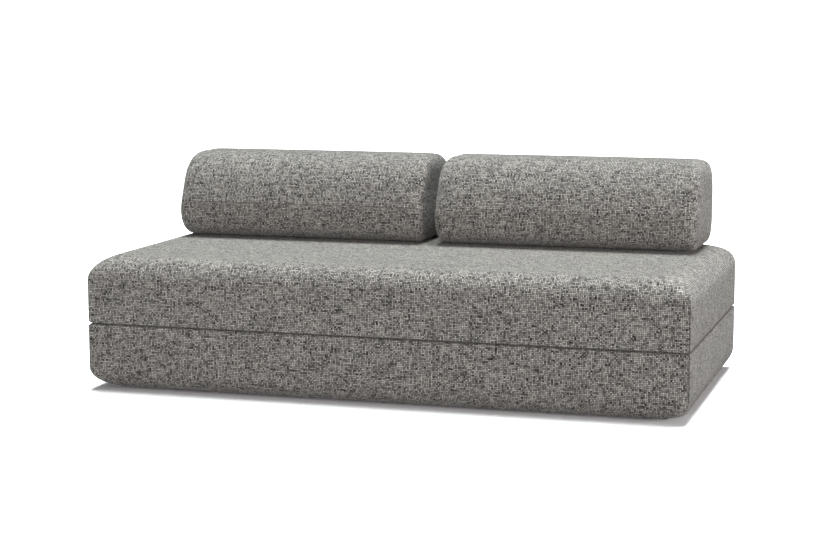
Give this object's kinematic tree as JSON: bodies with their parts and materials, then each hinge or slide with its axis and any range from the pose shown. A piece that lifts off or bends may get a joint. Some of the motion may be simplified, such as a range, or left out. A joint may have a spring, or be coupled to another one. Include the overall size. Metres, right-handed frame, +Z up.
{
  "type": "futon sofa bed",
  "caption": "Fold-out foam sofa bed: two stacked mattress blocks hinged along the front edge, with two loose back bolsters, in grey melange cloth.",
  "frame": {"origin": "middle of the underside, on the floor", "axes": "+X along the sofa, to the right as seen from the front, -Y the front, where the seat unfolds, +Z up"},
  "size_m": [2, 1.0324, 0.7374],
  "materials": {
    "upholstery_cloth": "matte",
    "grip_cloth": "matte",
    "liner_cloth": "matte",
    "fibre_wadding": "matte",
    "core_foam": "matte",
    "sleep_foam": "matte",
    "sit_foam": "matte",
    "zip_tape": "matte",
    "zip_coil": "satin",
    "zip_metal": "satin"
  },
  "bodies": {
    "base": {"base_cover": "upholstery_cloth", "base_liner": "liner_cloth", "base_wadding": "fibre_wadding", "base_core_foam": "core_foam", "base_sleep_foam": "sleep_foam", "base_zip_tapes": "zip_tape", "base_zip_coil": "zip_coil", "base_zip_stops": "zip_metal", "base_hinge_leaf": "upholstery_cloth", "base_grip_panel": "grip_cloth"},
    "seat": {"seat_cover": "upholstery_cloth", "seat_liner": "liner_cloth", "seat_wadding": "fibre_wadding", "seat_core_foam": "core_foam", "seat_sleep_foam": "sleep_foam", "seat_zip_tapes": "zip_tape", "seat_zip_coil": "zip_coil", "seat_zip_stops": "zip_metal", "seat_hinge_leaf": "upholstery_cloth", "seat_sit_foam": "sit_foam"},
    "left_bolster": {"left_bolster_cover": "upholstery_cloth", "left_bolster_liner": "liner_cloth", "left_bolster_wadding": "fibre_wadding", "left_bolster_foam": "core_foam", "left_bolster_zip_tapes": "zip_tape", "left_bolster_zip_coil": "zip_coil", "left_bolster_zip_stops": "zip_metal"},
    "right_bolster": {"right_bolster_cover": "upholstery_cloth", "right_bolster_liner": "liner_cloth", "right_bolster_wadding": "fibre_wadding", "right_bolster_foam": "core_foam", "right_bolster_zip_tapes": "zip_tape", "right_bolster_zip_coil": "zip_coil", "right_bolster_zip_stops": "zip_metal"},
    "base_slider": {"base_zip_slider": "zip_metal"},
    "seat_slider": {"seat_zip_slider": "zip_metal"},
    "left_bolster_slider": {"left_bolster_zip_slider": "zip_metal"},
    "right_bolster_slider": {"right_bolster_zip_slider": "zip_metal"}
  },
  "joints": [
    {"name": "unfold", "type": "hinge", "parent": "base", "child": "seat", "pos_m": [0, -0.5165, 0.2205], "axis": [1, 0, 0], "range_deg": [0, 180]},
    {"name": "left_bolster_set_down", "type": "hinge", "parent": "seat", "child": "left_bolster", "pos_m": [0, 0.525, 0.441], "axis": [1, 0, 0], "range_deg": [-180, 0]},
    {"name": "right_bolster_set_down", "type": "hinge", "parent": "seat", "child": "right_bolster", "pos_m": [0, 0.525, 0.441], "axis": [1, 0, 0], "range_deg": [-180, 0]},
    {"name": "base_zip_open", "type": "slide", "parent": "base", "child": "base_slider", "axis": [-1, 0, 0], "range_m": [0, 1.48]},
    {"name": "seat_zip_open", "type": "slide", "parent": "seat", "child": "seat_slider", "axis": [-1, 0, 0], "range_m": [0, 1.48]},
    {"name": "left_bolster_zip_open", "type": "slide", "parent": "left_bolster", "child": "left_bolster_slider", "axis": [-1, 0, 0], "range_m": [0, 0.6]},
    {"name": "right_bolster_zip_open", "type": "slide", "parent": "right_bolster", "child": "right_bolster_slider", "axis": [-1, 0, 0], "range_m": [0, 0.6]}
  ],
  "couplings": [
    {"joint": "left_bolster_set_down", "follows": "unfold", "ratio": -1},
    {"joint": "right_bolster_set_down", "follows": "unfold", "ratio": -1}
  ]
}
